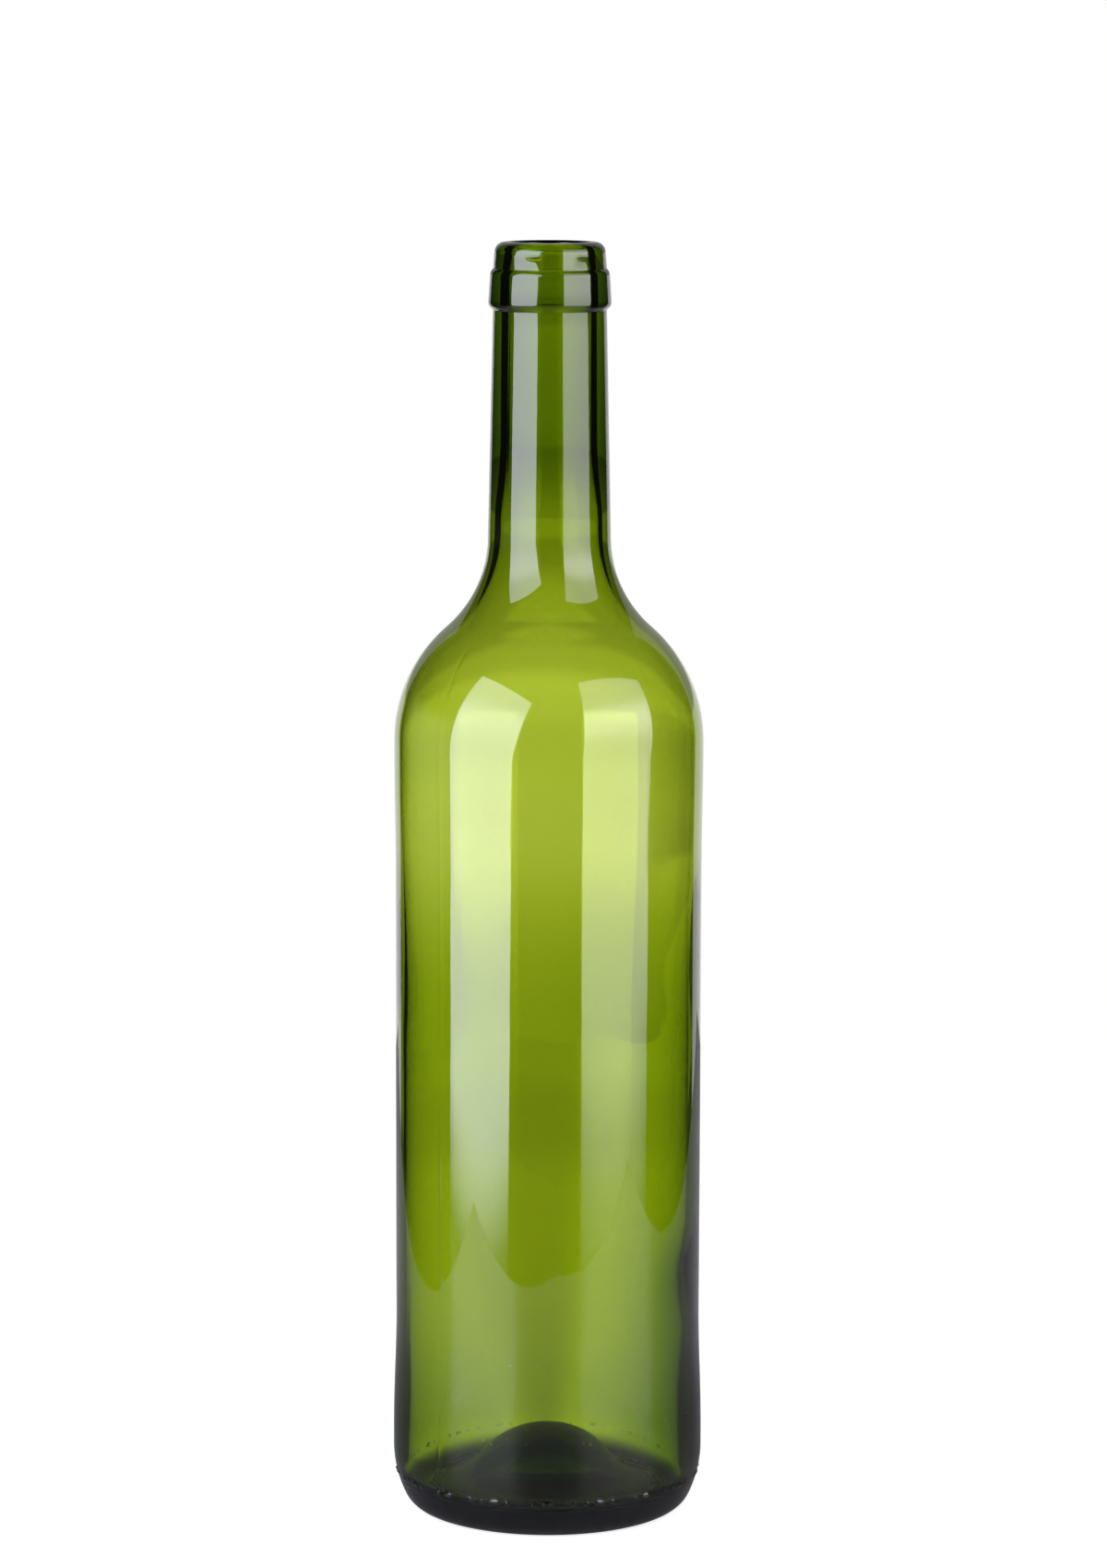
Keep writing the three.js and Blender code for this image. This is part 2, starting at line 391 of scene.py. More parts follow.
def outer_mouth():
    """Outer skin of the mouth, from the corner under the ring to the flat rim."""
    ring_foot = BOTTLE_HEIGHT - LIP_HEIGHT - RING_HEIGHT
    ring_top = ring_foot + RING_HEIGHT
    corner = RING_CORNER_ROUND
    top_round_radius = RING_RADIUS - RING_TAPER - RING_TOP_ROUND
    top_round_height = ring_top - RING_TOP_ROUND
    corner_radius = LIP_RADIUS + corner
    # The ring's top round and the hollow corner beside it share a tangent where they meet.
    reach = RING_TOP_ROUND + corner
    join = math.acos((corner_radius - top_round_radius) / reach)
    corner_height = top_round_height + reach * math.sin(join)
    join_degrees = math.degrees(join)
    return [
        *arc(NECK_TOP_RADIUS + corner, ring_foot - corner, corner, 180, 180 - RING_UNDERSIDE_DEGREES),
        *arc(
            RING_RADIUS - RING_FOOT_ROUND,
            ring_foot + RING_FOOT_ROUND,
            RING_FOOT_ROUND,
            -RING_UNDERSIDE_DEGREES,
            0,
        ),
        *arc(top_round_radius, top_round_height, RING_TOP_ROUND, 0, join_degrees),
        *arc(corner_radius, corner_height, corner, 180 + join_degrees, 180),
        *lip_line_points(corner_height),
        *arc(LIP_RADIUS - LIP_TAPER - LIP_ROUND, BOTTLE_HEIGHT - LIP_ROUND, LIP_ROUND, 0, 90),
    ]


def lip_line_points(lip_foot):
    """Three points on the lip's straight side, at both edges and on the crest of the lip line."""
    lip_top = BOTTLE_HEIGHT - LIP_ROUND
    crest = BOTTLE_HEIGHT - LIP_LINE_DEPTH
    heights = (crest - LIP_LINE_HALF_WIDTH, crest, crest + LIP_LINE_HALF_WIDTH)
    return [
        (LIP_RADIUS - LIP_TAPER * (height - lip_foot) / (lip_top - lip_foot), height)
        for height in heights
    ]


def inner_neck():
    """Inner skin from the rim down the bore to the top of the body."""
    mouth_foot = BOTTLE_HEIGHT - MOUTH_ROUND - MOUTH_BORE_LENGTH
    closure_top = mouth_foot - MOUTH_FADE_LENGTH
    closure_foot = closure_top - CLOSURE_BORE_LENGTH
    wall_top = closure_foot - CLOSURE_FADE_LENGTH
    neck_top = BOTTLE_HEIGHT - LIP_HEIGHT - RING_HEIGHT
    neck_radius = NECK_TOP_RADIUS + (neck_top - wall_top) * math.tan(math.radians(NECK_TAPER_DEGREES))
    wall_radius = neck_radius - NECK_WALL
    walls = shoulder(
        SHOULDER_CROWN_RADIUS - SHOULDER_WALL,
        SHOULDER_HOLLOW_RADIUS + NECK_WALL,
        SHOULDER_BAND_RADIUS - SHOULDER_WALL,
        wall_radius,
        wall_top,
    )
    return [
        *arc(MOUTH_BORE_RADIUS + MOUTH_ROUND, BOTTLE_HEIGHT - MOUTH_ROUND, MOUTH_ROUND, 90, 180),
        *fade(MOUTH_BORE_RADIUS, mouth_foot, CLOSURE_BORE_RADIUS, closure_top),
        *fade(CLOSURE_BORE_RADIUS, closure_foot, wall_radius, wall_top),
        *reversed(walls),
    ]


def inner_base():
    """Inner skin from the top of the body, down over the thick heel, to the middle of the floor."""
    shoulder_radius = SHOULDER_BAND_RADIUS - SHOULDER_WALL
    wall_radius = PANEL_RADIUS - BODY_WALL
    trough_radius = wall_radius - INNER_HEEL_ROUND
    trough_height = HEEL_FLOOR_THICKNESS
    floor = domed_floor(PUNT_DEPTH + PUNT_THICKNESS, trough_height, trough_radius, INNER_FLOOR_ROUND)
    return [
        *fade(shoulder_radius, WALL_FADE_HEIGHT + WALL_FADE_LENGTH, wall_radius, WALL_FADE_HEIGHT),
        *arc(trough_radius, trough_height + INNER_HEEL_ROUND, INNER_HEEL_ROUND, 0, -90),
        *reversed(floor),
    ]


def split_long_runs(points):
    """The same outline without doubled points, and with its long straight runs cut into steps."""
    result = [Vector(points[0])]
    for point in points[1:]:
        target = Vector(point)
        start = result[-1]
        run = (target - start).length
        if run < SAME_POINT:
            continue
        step = MARK_BAND_STEP if in_mark_band(*target) else STRAIGHT_STEP
        parts = math.ceil(run / step)
        result += [start.lerp(target, part / parts) for part in range(1, parts + 1)]
    return result


def trough_outer():
    """A radius between the inner skin and the outer skin at the heel."""
    return PANEL_RADIUS - BODY_WALL


def in_mark_band(radius, height):
    """Whether a point lies in the outer skin's band of heel marks."""
    return MARK_BAND_FOOT < height < MARK_BAND_TOP and radius > trough_outer()


def column_angles():
    """Angles of the columns: evenly spaced from a seam, with more at and beside each of the two seams."""
    seam = math.radians(SEAM_DEGREES)
    angles = {seam + 2 * math.pi * column / COLUMNS for column in range(COLUMNS)}
    for centre in (seam, seam + math.pi):
        for share in SEAM_COLUMN_SHARES:
            angles.add(centre + share * SEAM_HALF_WIDTH / PANEL_RADIUS)
    low = seam - math.pi / COLUMNS
    return sorted(low + (angle - low) % (2 * math.pi) for angle in angles)


def divided(angles, divisions):
    """The same angles with each interval cut into equal parts."""
    following = angles[1:] + [angles[0] + 2 * math.pi]
    return [
        angle + (after - angle) * part / divisions
        for angle, after in zip(angles, following)
        for part in range(divisions)
    ]


def eased(value, low, high):
    """0 at low, 1 at high, and a soft change between them."""
    share = min(1, max(0, (value - low) / (high - low)))
    return share * share * (3 - 2 * share)


def cavity_shift(point, angle):
    """How far a point of the inner skin lies from its outline, because the inside was blown unevenly."""
    radius = math.hypot(point.x, point.y)
    lean = CAVITY_LEAN * eased(point.z, LEAN_TOP, LEAN_FOOT) * radius / PANEL_RADIUS
    wavelength, wave_depth = PATCH_RIPPLE
    depth = PATCH_DEPTH + wave_depth * noise.noise(point / wavelength)
    side = max(0, math.cos(angle)) ** PATCH_SHARPNESS * eased(radius, 0, PANEL_RADIUS)
    patch = depth * side * eased(point.z, PATCH_TOP, PATCH_FOOT)
    return Vector((-lean, 0, 0)) - Vector((math.cos(angle), math.sin(angle), 0)) * patch


def ripple(point, ripples):
    """Unevenness at a point, the sum of smooth ripples."""
    return sum(depth * noise.noise(point / wavelength) for wavelength, depth in ripples)


def seam_rise(angle, radius, height):
    """Height of the mould seam's ridge at a point of the outer skin."""
    if not SEAM_FOOT < height < SEAM_TOP:
        return 0
    away = (angle - math.radians(SEAM_DEGREES) + math.pi / 2) % math.pi - math.pi / 2
    share = abs(away) * radius / SEAM_HALF_WIDTH
    upper = eased(height, SEAM_FADE_FOOT, SEAM_FADE_TOP)
    return (SEAM_HEIGHT + (SEAM_UPPER_HEIGHT - SEAM_HEIGHT) * upper) * max(0, 1 - share)


def lip_line_rise(point):
    """Height of the lip line's ridge at a point of the outer skin, which fades out here and there."""
    away = abs(point.z - BOTTLE_HEIGHT + LIP_LINE_DEPTH)
    whole = eased(noise.noise(point / LIP_LINE_WAVE), *LIP_LINE_BREAKS)
    return LIP_LINE_RISE * whole * max(0, 1 - away / LIP_LINE_HALF_WIDTH)


def mark_rise(angle, radius, height):
    """Height of the nearest heel mark at a point of the outer skin, where a dash lies along the heel."""
    pitch = 2 * math.pi / MARKS
    place = round(angle / pitch)
    kind = MARK_PATTERN[place % len(MARK_PATTERN)]
    if kind == "gap":
        return 0
    reach = DASH_HALF_LENGTH if kind == "dash" else 0
    across = max(0, abs(angle - place * pitch) * radius - reach)
    along = height - MARK_HEIGHT
    share = math.hypot(across, along) / MARK_RADIUS
    return MARK_RISE * math.sqrt(1 - share * share) if share < 1 else 0


def mark_share(vertex):
    """How high a vertex stands on a heel mark: 0 beside it and 1 on its top."""
    radius = math.hypot(vertex.x, vertex.y)
    if not in_mark_band(radius, vertex.z):
        return 0
    return mark_rise(math.atan2(vertex.y, vertex.x), radius, vertex.z) / MARK_RISE


def skin_offset(point, angle, is_outer):
    """How far a point of a skin lies out from its outline. The seam and the line stay off the punt."""
    radius = math.hypot(point.x, point.y)
    to_ends = min(point.z, BOTTLE_HEIGHT - point.z)
    calm = min(1, max(0, to_ends / RIPPLE_FREE_ENDS))
    if not is_outer:
        return calm * ripple(point, INNER_RIPPLES)
    depth = sum(depth for _, depth in OUTER_RIPPLES)
    offset = calm * (ripple(point, OUTER_RIPPLES) - depth)
    if point.z > 0 and radius > trough_outer() or point.z > MARK_BAND_TOP:
        offset += seam_rise(angle, radius, point.z) + lip_line_rise(point)
    if in_mark_band(radius, point.z):
        offset += mark_rise(angle, radius, point.z)
    return min(offset, HEEL_BAND_RADIUS - radius)


def ring_normal(points, index):
    """Outward direction of the outline at one of its points, as (outwards, up)."""
    tangent = points[min(index + 1, len(points) - 1)] - points[max(index - 1, 0)]
    tangent.normalize()
    return tangent.y, -tangent.x


def strip(lower, upper):
    """Faces between two closed rings of vertices; one ring may have a whole number of times more."""
    coarse = min(len(lower), len(upper))
    low_parts = len(lower) // coarse
    high_parts = len(upper) // coarse
    faces = []
    for column in range(coarse):
        low = [lower[(column * low_parts + part) % len(lower)] for part in range(low_parts + 1)]
        high = [upper[(column * high_parts + part) % len(upper)] for part in range(high_parts + 1)]
        faces.append(low + high[::-1])
    return faces


def cap(ring, pole, turned):
    """Triangles from a ring of vertices to a pole on the axis."""
    faces = []
    for index, vertex in enumerate(ring):
        following = ring[(index + 1) % len(ring)]
        faces.append((pole, vertex, following) if turned else (pole, following, vertex))
    return faces


def ring_vertices(points, index, angles, is_outer):
    """A ring of vertices around one point of the outline, with the skin's unevenness."""
    radius, height = points[index]
    outwards, up = ring_normal(points, index)
    vertices = []
    for angle in angles:
        across = Vector((math.cos(angle), math.sin(angle), 0))
        point = across * radius + Vector((0, 0, height))
        offset = skin_offset(point, angle, is_outer)
        shift = Vector() if is_outer else cavity_shift(point, angle)
        vertices.append(point + (across * outwards + Vector((0, 0, up))) * offset + shift)
    return vertices


def bottle_mesh():
    """The whole bottle as one closed skin: outside from the punt to the rim, then down the inside."""
    outside = [*outer_base(), *outer_shoulder(), *outer_mouth()]
    outer_points = split_long_runs(outside)
    points = split_long_runs([*outside, *inner_neck(), *inner_base()])
    columns = column_angles()
    fine_columns = divided(columns, MARK_BAND_DIVISIONS)
    vertices = [Vector((0, 0, points[0].y))]
    rings = []
    for index in range(1, len(points) - 1):
        is_outer = index < len(outer_points)
        angles = fine_columns if is_outer and in_mark_band(*points[index]) else columns
        first = len(vertices)
        vertices += ring_vertices(points, index, angles, is_outer)
        rings.append(range(first, len(vertices)))
    vertices.append(Vector((0, 0, points[-1].y)))
    faces = cap(rings[0], 0, turned=False)
    for lower, upper in zip(rings, rings[1:]):
        faces += strip(lower, upper)
    faces += cap(rings[-1], len(vertices) - 1, turned=True)
    mesh = bpy.data.meshes.new("bottle_glass")
    mesh.from_pydata(vertices, [], faces)
    mesh.shade_smooth()
    tops = mesh.attributes.new(MARK_TOPS, "FLOAT", "POINT")
    tops.data.foreach_set("value", [mark_share(vertex) for vertex in vertices])
    return mesh


def new_material(name):
    """An empty node material, its tree and its output node."""
    material = bpy.data.materials.new(name)
    material.use_nodes = True
    tree = material.node_tree
    tree.nodes.clear()
    return material, tree, tree.nodes.new("ShaderNodeOutputMaterial")


def add_node(tree, kind, inputs=None, **settings):
    """A new node with its settings, and its inputs set or linked."""
    node = tree.nodes.new(kind)
    for name, value in settings.items():
        setattr(node, name, value)
    for name, value in (inputs or {}).items():
        if isinstance(value, bpy.types.NodeSocket):
            tree.links.new(value, node.inputs[name])
        else:
            node.inputs[name].default_value = value
    return node


def math_node(tree, operation, first, second=0.0):
    """The result of one arithmetic operation on two values or sockets."""
    return add_node(tree, "ShaderNodeMath", {0: first, 1: second}, operation=operation).outputs[0]


def product(tree, first, *others):
    """All the given values multiplied together."""
    for other in others:
        first = math_node(tree, "MULTIPLY", first, other)
    return first


def rest_of(tree, share):
    """What a share leaves of 1."""
    return math_node(tree, "SUBTRACT", 1.0, share)


def axes_of(tree, vector):
    """The x, y and z of a vector."""
    parts = add_node(tree, "ShaderNodeSeparateXYZ", {0: vector})
    return [parts.outputs[axis] for axis in "XYZ"]


def position(tree):
    """Where the point that is being shaded lies."""
    return tree.nodes.new("ShaderNodeNewGeometry").outputs["Position"]


def glow(tree, strength, colour=WHITE):
    """Emission of a colour at a strength."""
    return add_node(tree, "ShaderNodeEmission", {"Color": (*colour, 1), "Strength": strength}).outputs[0]


def mixed(tree, share, first, second):
    """First shader where share is 0 and second where it is 1."""
    return add_node(tree, "ShaderNodeMixShader", {0: share, 1: first, 2: second}).outputs[0]


def smooth_step(tree, value, low, high):
    """0 below low, 1 above high, and a soft change between them."""
    step = add_node(
        tree,
        "ShaderNodeMapRange",
        {"Value": value, "From Min": low, "From Max": high},
        interpolation_type="SMOOTHSTEP",
    )
    return step.outputs["Result"]


def soft_band(tree, value, low, low_full, high_full, high):
    """1 within a band of values, and a soft fall to 0 on both sides of it."""
    rising = smooth_step(tree, value, low, low_full)
    return product(tree, rising, smooth_step(tree, value, high, high_full))


def blend_value(tree, share, first, second):
    """First where share is 0 and second where it is 1."""
    node = add_node(tree, "ShaderNodeMix", {"Factor": share, "A": first, "B": second}, data_type="FLOAT")
    return node.outputs["Result"]


def stretched_noise(tree, place, scale, detail):
    """Smooth noise of its own scale along each axis."""
    scaled = add_node(tree, "ShaderNodeVectorMath", {0: place, 1: scale}, operation="MULTIPLY").outputs[0]
    return add_node(tree, "ShaderNodeTexNoise", {"Vector": scaled, "Scale": 1.0, "Detail": detail}).outputs[0]


def glass_roughness(tree, place):
    """Clear all over, but ground by use under the foot and on the heel marks, and rubbed in specks."""
    height = axes_of(tree, place)[2]
    under_foot = smooth_step(tree, height, FOOT_WEAR_HEIGHT, 0.0)
    rub_band = soft_band(tree, height, RUB_FOOT, RUB_MIDDLE, RUB_MIDDLE, RUB_TOP)
    specks = smooth_step(tree, stretched_noise(tree, place, (RUB_SCALE,) * 3, RUB_DETAIL), *RUB_SPECKS)
    tops = add_node(tree, "ShaderNodeAttribute", attribute_name=MARK_TOPS).outputs["Fac"]
    ground = math_node(tree, "MAXIMUM", under_foot, tops)
    worn = math_node(tree, "MAXIMUM", ground, product(tree, rub_band, specks))
    return product(tree, worn, WORN_ROUGHNESS)


def glass_material():
    """Clear green glass: the colour is in its depth, and the skin has faint cords and worn places."""
    material, tree, output = new_material("green_glass")
    place = tree.nodes.new("ShaderNodeTexCoord").outputs["Object"]
    cords = stretched_noise(tree, place, CORD_SCALE, CORD_DETAIL)
    tint = add_node(
        tree,
        "ShaderNodeMix",
        {"Factor": cords, 6: (*CORD_PALE, 1), 7: (*CORD_DEEP, 1)},
        data_type="RGBA",
    )
    bumps = stretched_noise(tree, place, (PEEL_SCALE,) * 3, PEEL_DETAIL)
    peel = add_node(tree, "ShaderNodeBump", {"Strength": 1.0, "Distance": PEEL_DEPTH, "Height": bumps})
    shader = add_node(
        tree,
        "ShaderNodeBsdfPrincipled",
        {
            "Base Color": tint.outputs[2],
            "Roughness": glass_roughness(tree, place),
            "Normal": peel.outputs["Normal"],
            "IOR": GLASS_IOR,
            "Transmission Weight": 1.0,
        },
    )
    depth = add_node(
        tree,
        "ShaderNodeVolumeAbsorption",
        {"Color": (*ABSORPTION_COLOR, 1), "Density": ABSORPTION_DENSITY},
    )
    tree.links.new(shader.outputs["BSDF"], output.inputs["Surface"])
    tree.links.new(depth.outputs["Volume"], output.inputs["Volume"])
    return material


def add_object(name, data):
    """A new object in the scene."""
    new_object = bpy.data.objects.new(name, data)
    bpy.context.collection.objects.link(new_object)
    return new_object


def flat_mesh(name, corners, material):
    """One flat face with a material."""
    mesh = bpy.data.meshes.new(name)
    mesh.from_pydata(corners, [], [range(len(corners))])
    mesh.materials.append(material)
    return mesh


def make_bottle():
    """The bottle stands for its CAD node and rides on the part's one body."""
    bottle = add_object("bottle_glass", bottle_mesh())
    bottle.data.materials.append(glass_material())
    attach(bottle, "root")
    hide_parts("glass_bottle")


def seen_through(tree, path):
    """1 for a ray that has only been bent by glass on its way here, and 0 for other rays."""
    not_mirrored = math_node(tree, "LESS_THAN", path.outputs["Glossy Depth"], ANY_BOUNCE)
    return product(tree, path.outputs["Is Transmission Ray"], not_mirrored)


def make_table():
    """A pale table top. The camera sees it white, with the bottle's soft shadow on it."""
    corners = [
        (TABLE_LEFT, TABLE_BACK),
        (TABLE_LEFT, 0),
        TABLE_LEFT_CORNER,
        TABLE_FRONT,
        TABLE_RIGHT_CORNER,
        (TABLE_RIGHT, 0),
        (TABLE_RIGHT, TABLE_BACK),
    ]
    table = add_object("table", flat_mesh("table", [(x, y, 0) for x, y in corners], table_material()))


def table_material():
    """Satin white, with painted shade where the glass bends or mirrors it, and a painted glow to bent rays.
    """
    material, tree, output = new_material("table")
    path = tree.nodes.new("ShaderNodeLightPath")
    colour = (TABLE_ALBEDO, TABLE_ALBEDO, TABLE_ALBEDO, 1)
    satin = add_node(
        tree,
        "ShaderNodeBsdfPrincipled",
        {"Base Color": colour, "Roughness": TABLE_ROUGHNESS, "Specular IOR Level": TABLE_SHEEN},
    )
    matt = add_node(tree, "ShaderNodeBsdfDiffuse", {"Color": colour})
    to_camera = add_node(tree, "ShaderNodeAddShader", {0: matt.outputs[0], 1: glow(tree, TABLE_CAMERA_GLOW)})
    black = add_node(tree, "ShaderNodeBsdfDiffuse", {"Color": (*BLACK, 1)})
    place = position(tree)
    x, y, _ = axes_of(tree, place)
    bearing = degrees_of(tree, "ARCTAN2", x, y)
    away = add_node(tree, "ShaderNodeVectorMath", {0: place}, operation="LENGTH").outputs["Value"]
    side = table_side_shade(tree, x, y, away)
    shade = table_mirror_shade(tree, bearing, away, side)
    # Painted shade: as the glass mirrors it, the satin is mixed with black near the bottle and on the left
    # behind it
    mirrored = mixed(tree, shade, satin.outputs[0], black.outputs[0])
    # Painted light: to rays bent by the glass, the table glows instead of being lit
    through = glow(tree, table_through_level(tree, bearing, away, side))
    other = mixed(tree, seen_through(tree, path), mirrored, through)
    surface = mixed(tree, path.outputs["Is Camera Ray"], other, to_camera.outputs[0])
    tree.links.new(surface, output.inputs["Surface"])
    material.cycles.emission_sampling = "NONE"
    return material


def table_through_level(tree, bearing, away, side):
    """Painted light: the table's glow to rays bent by the glass, brighter to the sides, less in its painted
    shade.
    """
    lit = product(tree, smooth_step(tree, away, *UNDER_RADII), rest_of(tree, side))
    dip = product(tree, soft_band(tree, away, *DIP_RADII), DIP_SHARE)
    lit = product(tree, lit, rest_of(tree, dip))
    return product(tree, side_gain(tree, bearing, LEFT_GAIN, TABLE_RIGHT_GAIN), lit, TABLE_THROUGH_LEVEL)


def table_side_shade(tree, x, y, away):
    """1 where shade is painted on the table behind the bottle, to the left and the right of a lit strip."""
    off_centre = math_node(tree, "ABSOLUTE", math_node(tree, "SUBTRACT", x, product(tree, y, SIDE_LEAN)))
    outward = math_node(tree, "SUBTRACT", off_centre, product(tree, y, SIDE_SLOPE))
    beside = smooth_step(tree, outward, *SIDE_EDGE)
    behind = math_node(tree, "GREATER_THAN", y, 0.0)
    near = smooth_step(tree, away, *SIDE_RADII)
    return product(tree, beside, near, behind)


def table_mirror_shade(tree, bearing, away, side):
    """How far shade is painted on the table where the glass mirrors it: near the bottle, and on the left
    side.
    """
    near = product(tree, smooth_step(tree, away, *DIM_RADII), DIM_SHARE)
    on_left = math_node(tree, "LESS_THAN", bearing, 0.0)
    return math_node(tree, "MAXIMUM", near, product(tree, side, on_left, LEFT_MIRROR_SHADE))


def softbox_place(turn, tilt, roll, across, up):
    """Where a softbox stands, facing a point halfway up the bottle."""
    return (
        Matrix.Translation((0, 0, SOFTBOX_AIM_HEIGHT))
        @ Matrix.Rotation(math.radians(-turn), 4, "Z")
        @ Matrix.Rotation(math.radians(90 - tilt), 4, "X")
        @ Matrix.Rotation(math.radians(-roll), 4, "Z")
        @ Matrix.Translation((across, up, SOFTBOX_DISTANCE))
    )


def softbox_glow(tree, radiance, hot, foot, colour):
    """Emission of a softbox, with a hotter middle and a dimmer head and foot."""
    height = axes_of(tree, position(tree))[2]
    extra = product(tree, soft_band(tree, height, HOT_FOOT, HOT_MIDDLE, HOT_MIDDLE, HOT_TOP), hot * radiance)
    dimmed = product(tree, smooth_step(tree, height, *foot), -DIM_FOOT_SHARE * radiance)
    level = math_node(tree, "ADD", math_node(tree, "ADD", extra, dimmed), radiance)
    head = product(tree, smooth_step(tree, height, *DIM_HEAD_HEIGHTS), DIM_HEAD_SHARE)
    return glow(tree, product(tree, level, rest_of(tree, head)), colour)


def make_lamp(name, place, width, height, radiance, hot, foot, colour):
    """A rectangular lamp, which glass also mirrors on its outer skin."""
    light = bpy.data.lights.new(name, "AREA")
    light.shape = "RECTANGLE"
    light.size = width
    light.size_y = height
    light.energy = radiance * math.pi * width * height
    light.use_nodes = True
    tree = light.node_tree
    tree.nodes.clear()
    output = tree.nodes.new("ShaderNodeOutputLight")
    tree.links.new(softbox_glow(tree, 1.0, hot, foot, colour), output.inputs["Surface"])
    lamp = add_object(name, light)
    lamp.matrix_world = place
    lamp.visible_camera = False
    lamp.visible_transmission = False


def echo_material(name, radiance, hot, foot, colour):
    """Shows a softbox to rays that have been mirrored inside the glass, and nothing to other rays."""
    material, tree, output = new_material(name)
    path = tree.nodes.new("ShaderNodeLightPath")
    mirrored = math_node(tree, "MAXIMUM", path.outputs["Glossy Depth"], path.outputs["Diffuse Depth"])
    mirrored = math_node(tree, "GREATER_THAN", mirrored, ANY_BOUNCE)
    height = axes_of(tree, position(tree))[2]
    dim = product(tree, smooth_step(tree, height, *ECHO_DIM_HEIGHTS), ECHO_DIM_SHARE)
    shown = product(tree, mirrored, rest_of(tree, dim))
    clear = tree.nodes.new("ShaderNodeBsdfTransparent")
    surface = mixed(tree, shown, clear.outputs[0], softbox_glow(tree, radiance, hot, foot, colour))
    tree.links.new(surface, output.inputs["Surface"])
    material.cycles.emission_sampling = "NONE"
    return material


def make_echo(name, place, width, height, radiance, hot, foot, colour):
    """A panel in a lamp's place, which glass sees by inner reflections."""
    half_width = width / 2
    half_height = height / 2
    corners = [
        (-half_width, -half_height, 0),
        (half_width, -half_height, 0),
        (half_width, half_height, 0),
        (-half_width, half_height, 0),
    ]
    material = echo_material(name, radiance, hot, foot, colour)
    echo = add_object(name, flat_mesh(name, corners, material))
    echo.matrix_world = place
    echo.visible_camera = False
    echo.visible_diffuse = False
    echo.visible_glossy = False
    echo.visible_shadow = False


def make_softbox(name, turn, tilt, roll, across, up, width, height, **glow_values):
    """A softbox: a lamp, and its echo in the same place."""
    place = softbox_place(turn, tilt, roll, across, up)
    make_lamp(name, place, width, height, **glow_values)
    make_echo(f"{name}_echo", place, width, height, **glow_values)


def card_material():
    """Bright only to rays that the glass has mirrored, and clear to other rays, with soft edges."""
    material, tree, output = new_material("left_card")
    path = tree.nodes.new("ShaderNodeLightPath")
    mirrored = math_node(tree, "GREATER_THAN", path.outputs["Glossy Depth"], ANY_BOUNCE)
    _, y, z = axes_of(tree, position(tree))
    depth = soft_band(tree, y, *CARD_DEPTHS)
    height = soft_band(tree, z, *CARD_HEIGHTS)
    shown = glow(tree, product(tree, depth, height, CARD_LEVEL, mirrored))
    clear = tree.nodes.new("ShaderNodeBsdfTransparent")
    both = add_node(tree, "ShaderNodeAddShader", {0: clear.outputs[0], 1: shown})
    tree.links.new(both.outputs[0], output.inputs["Surface"])
    material.cycles.emission_sampling = "NONE"
    return material


def make_card():
    """An upright white card close to the body, on its left."""
    front, back = CARD_DEPTHS[0], CARD_DEPTHS[-1]
    foot, top = CARD_HEIGHTS[0], CARD_HEIGHTS[-1]
    corners = [(CARD_X, front, foot), (CARD_X, back, foot), (CARD_X, back, top), (CARD_X, front, top)]
    card = add_object("left_card", flat_mesh("left_card", corners, card_material()))
    card.visible_camera = False
    card.visible_diffuse = False
    card.visible_shadow = False


def make_room():
    """The room around the table: white to the camera, and dim with a bright band as the glass sees it."""
    world = bpy.data.worlds.new("room")
    bpy.context.scene.world = world
    world.use_nodes = True
    tree = world.node_tree
    tree.nodes.clear()
    path = tree.nodes.new("ShaderNodeLightPath")
    direction = tree.nodes.new("ShaderNodeTexCoord").outputs["Generated"]
    x, y, z = axes_of(tree, direction)
    rise = degrees_of(tree, "ARCSINE", z)
    bearing = degrees_of(tree, "ARCTAN2", x, y)
    left = product(tree, smooth_step(tree, rise, *LEFT_FADE_DEGREES), LEFT_GAIN)
    right = blend_value(tree, smooth_step(tree, rise, *RIGHT_FADE_DEGREES), RIGHT_UPPER_GAIN, RIGHT_GAIN)
    right = blend_value(tree, smooth_step(tree, rise, *RIGHT_TOP_DEGREES), right, RIGHT_TOP_GAIN)
    through = product(tree, room_through(tree, rise), side_gain(tree, bearing, left, right))
    mirrored = room_mirrored(tree, rise, bearing)
    reflected = math_node(tree, "GREATER_THAN", path.outputs["Glossy Depth"], ANY_BOUNCE)
    level = blend_value(tree, path.outputs["Is Camera Ray"], ROOM_AMBIENT, 1.0)
    level = blend_value(tree, path.outputs["Is Transmission Ray"], level, through)
    level = blend_value(tree, reflected, level, mirrored)
    background = add_node(tree, "ShaderNodeBackground", {"Color": (*WHITE, 1), "Strength": level})
    output = tree.nodes.new("ShaderNodeOutputWorld")
    tree.links.new(background.outputs[0], output.inputs["Surface"])


def degrees_of(tree, operation, first, second=0.0):
    """An inverse trigonometric function, in degrees."""
    return product(tree, math_node(tree, operation, first, second), 180 / math.pi)


def side_gain(tree, bearing, left, right):
    """Brightness against that straight behind the bottle: more by the given share on each side."""
    on_left = product(tree, smooth_step(tree, bearing, *LEFT_GAIN_DEGREES), left)
    on_right = product(tree, smooth_step(tree, bearing, *RIGHT_GAIN_DEGREES), right)
    return math_node(tree, "ADD", math_node(tree, "ADD", on_left, on_right), 1.0)


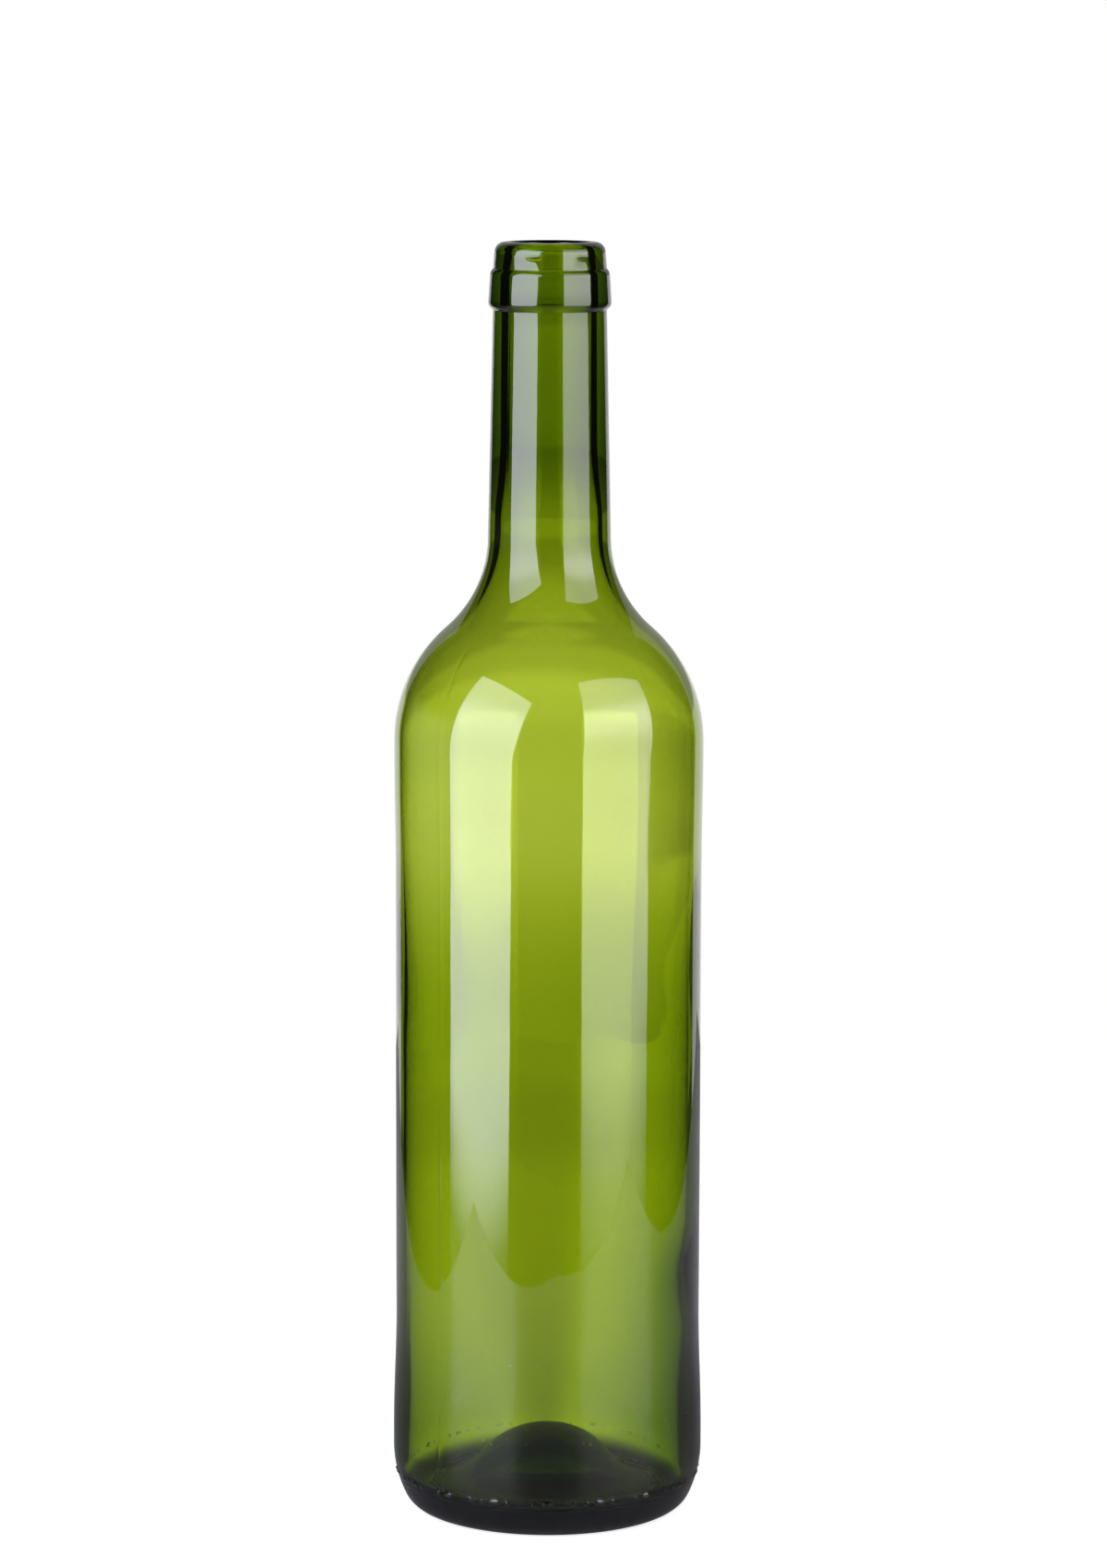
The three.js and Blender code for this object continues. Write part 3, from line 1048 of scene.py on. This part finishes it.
def room_through(tree, rise):
    """Brightness of the room behind the bottle: a bright band above the table's edge, dimmer further up."""
    band = blend_value(tree, smooth_step(tree, rise, *BAND_FOOT_DEGREES), ROOM_BELOW, ROOM_BAND)
    level = blend_value(tree, smooth_step(tree, rise, *BAND_TOP_DEGREES), band, ROOM_MIDDLE)
    return blend_value(tree, smooth_step(tree, rise, *MIDDLE_TOP_DEGREES), level, ROOM_ABOVE)


def room_mirrored(tree, rise, bearing):
    """Brightness of the room in the glass's mirrored view: a white backdrop behind, and dark elsewhere."""
    off_centre = math_node(tree, "ABSOLUTE", math_node(tree, "SUBTRACT", bearing, BACKDROP_CENTRE_DEGREES))
    beside = smooth_step(
        tree, off_centre, BACKDROP_HALF_DEGREES - EDGE_SOFTNESS_DEGREES, BACKDROP_HALF_DEGREES
    )
    above = smooth_step(tree, rise, BACKDROP_TOP_DEGREES - EDGE_SOFTNESS_DEGREES, BACKDROP_TOP_DEGREES)
    outside = math_node(tree, "MAXIMUM", beside, above)
    dim = smooth_step(tree, rise, *BACKDROP_DIM_DEGREES)
    level = blend_value(tree, dim, BACKDROP_LEVEL, BACKDROP_UPPER_LEVEL)
    return blend_value(tree, outside, level, ROOM_DARK)


def make_camera():
    """A long lens a little above the mouth, looking down to the heel."""
    data = bpy.data.cameras.new("camera")
    data.sensor_width = SENSOR_MM
    data.lens = LENS_MM
    camera = add_object("camera", data)
    camera.matrix_world = (
        Matrix.Translation((0, -CAMERA_DISTANCE, CAMERA_HEIGHT))
        @ Matrix.Rotation(math.radians(CAMERA_TURN_DEGREES), 4, "Z")
        @ Matrix.Rotation(math.radians(90 - CAMERA_TILT_DEGREES), 4, "X")
        @ Matrix.Rotation(math.radians(CAMERA_ROLL_DEGREES), 4, "Z")
    )
    bpy.context.scene.camera = camera


def set_render():
    """Standard colours, and enough bounces for light that runs along inside the glass."""
    scene = bpy.context.scene
    scene.view_settings.view_transform = "Standard"
    scene.cycles.max_bounces = MOST_BOUNCES
    scene.cycles.transmission_bounces = MOST_BOUNCES
    scene.cycles.glossy_bounces = MOST_MIRRORED


make_bottle()
make_table()
make_softbox("left_softbox", **LEFT_SOFTBOX)
make_softbox("right_softbox", **RIGHT_SOFTBOX)
make_card()
make_room()
make_camera()
set_render()
